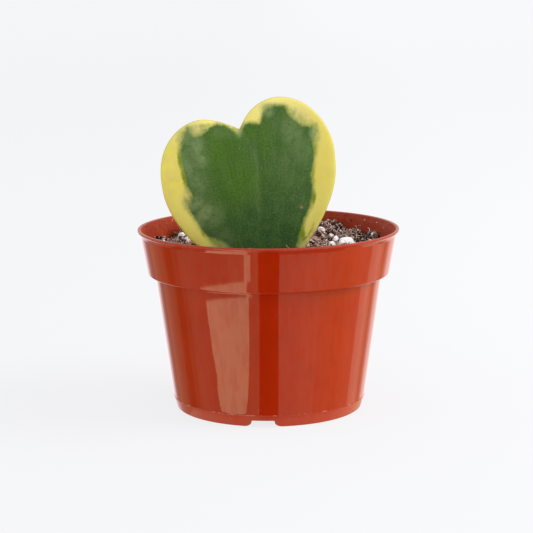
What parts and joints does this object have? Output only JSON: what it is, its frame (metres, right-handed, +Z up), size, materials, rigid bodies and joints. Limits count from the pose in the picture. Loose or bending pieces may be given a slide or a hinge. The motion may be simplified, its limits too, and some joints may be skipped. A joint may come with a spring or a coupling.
{
  "type": "potted heart-leaf hoya",
  "caption": "Small houseplant: one thick heart-shaped green and cream leaf standing in peat mix with perlite, in a tapered plastic nursery pot with a collar and a flared lip.",
  "frame": {"origin": "centre of the pot's foot, on the surface that the pot stands on", "axes": "+Z up along the pot's axis, -Y towards the side that the leaf's face is turned to, +X to the right as seen from there"},
  "size_m": [0.104, 0.104, 0.1239],
  "materials": {
    "pot_plastic": "thin moulded polypropylene, terracotta red, glossy with a faint moulding haze",
    "peat_mix": "loose dark fibrous peat, matt",
    "variegated_leaf": "waxy succulent leaf, green with cream-yellow margins, satin",
    "green_stalk": "fleshy petiole, satin",
    "cream_root": "young roots, matt",
    "perlite": "white expanded glass grains, chalky and porous"
  },
  "bodies": {
    "root": {"pot": "pot_plastic", "potting_mix": "peat_mix", "heart_leaf": "variegated_leaf", "leaf_stalk": "green_stalk", "roots": "cream_root", "perlite_01": "perlite", "perlite_02": "perlite", "perlite_03": "perlite", "perlite_04": "perlite", "perlite_05": "perlite", "perlite_06": "perlite", "perlite_07": "perlite", "perlite_08": "perlite", "perlite_09": "perlite", "perlite_10": "perlite", "perlite_11": "perlite", "perlite_12": "perlite", "perlite_13": "perlite", "perlite_14": "perlite", "perlite_15": "perlite", "perlite_16": "perlite", "perlite_17": "perlite", "perlite_18": "perlite", "perlite_19": "perlite", "perlite_20": "perlite", "perlite_21": "perlite", "perlite_22": "perlite", "perlite_23": "perlite", "perlite_24": "perlite"}
  },
  "joints": []
}
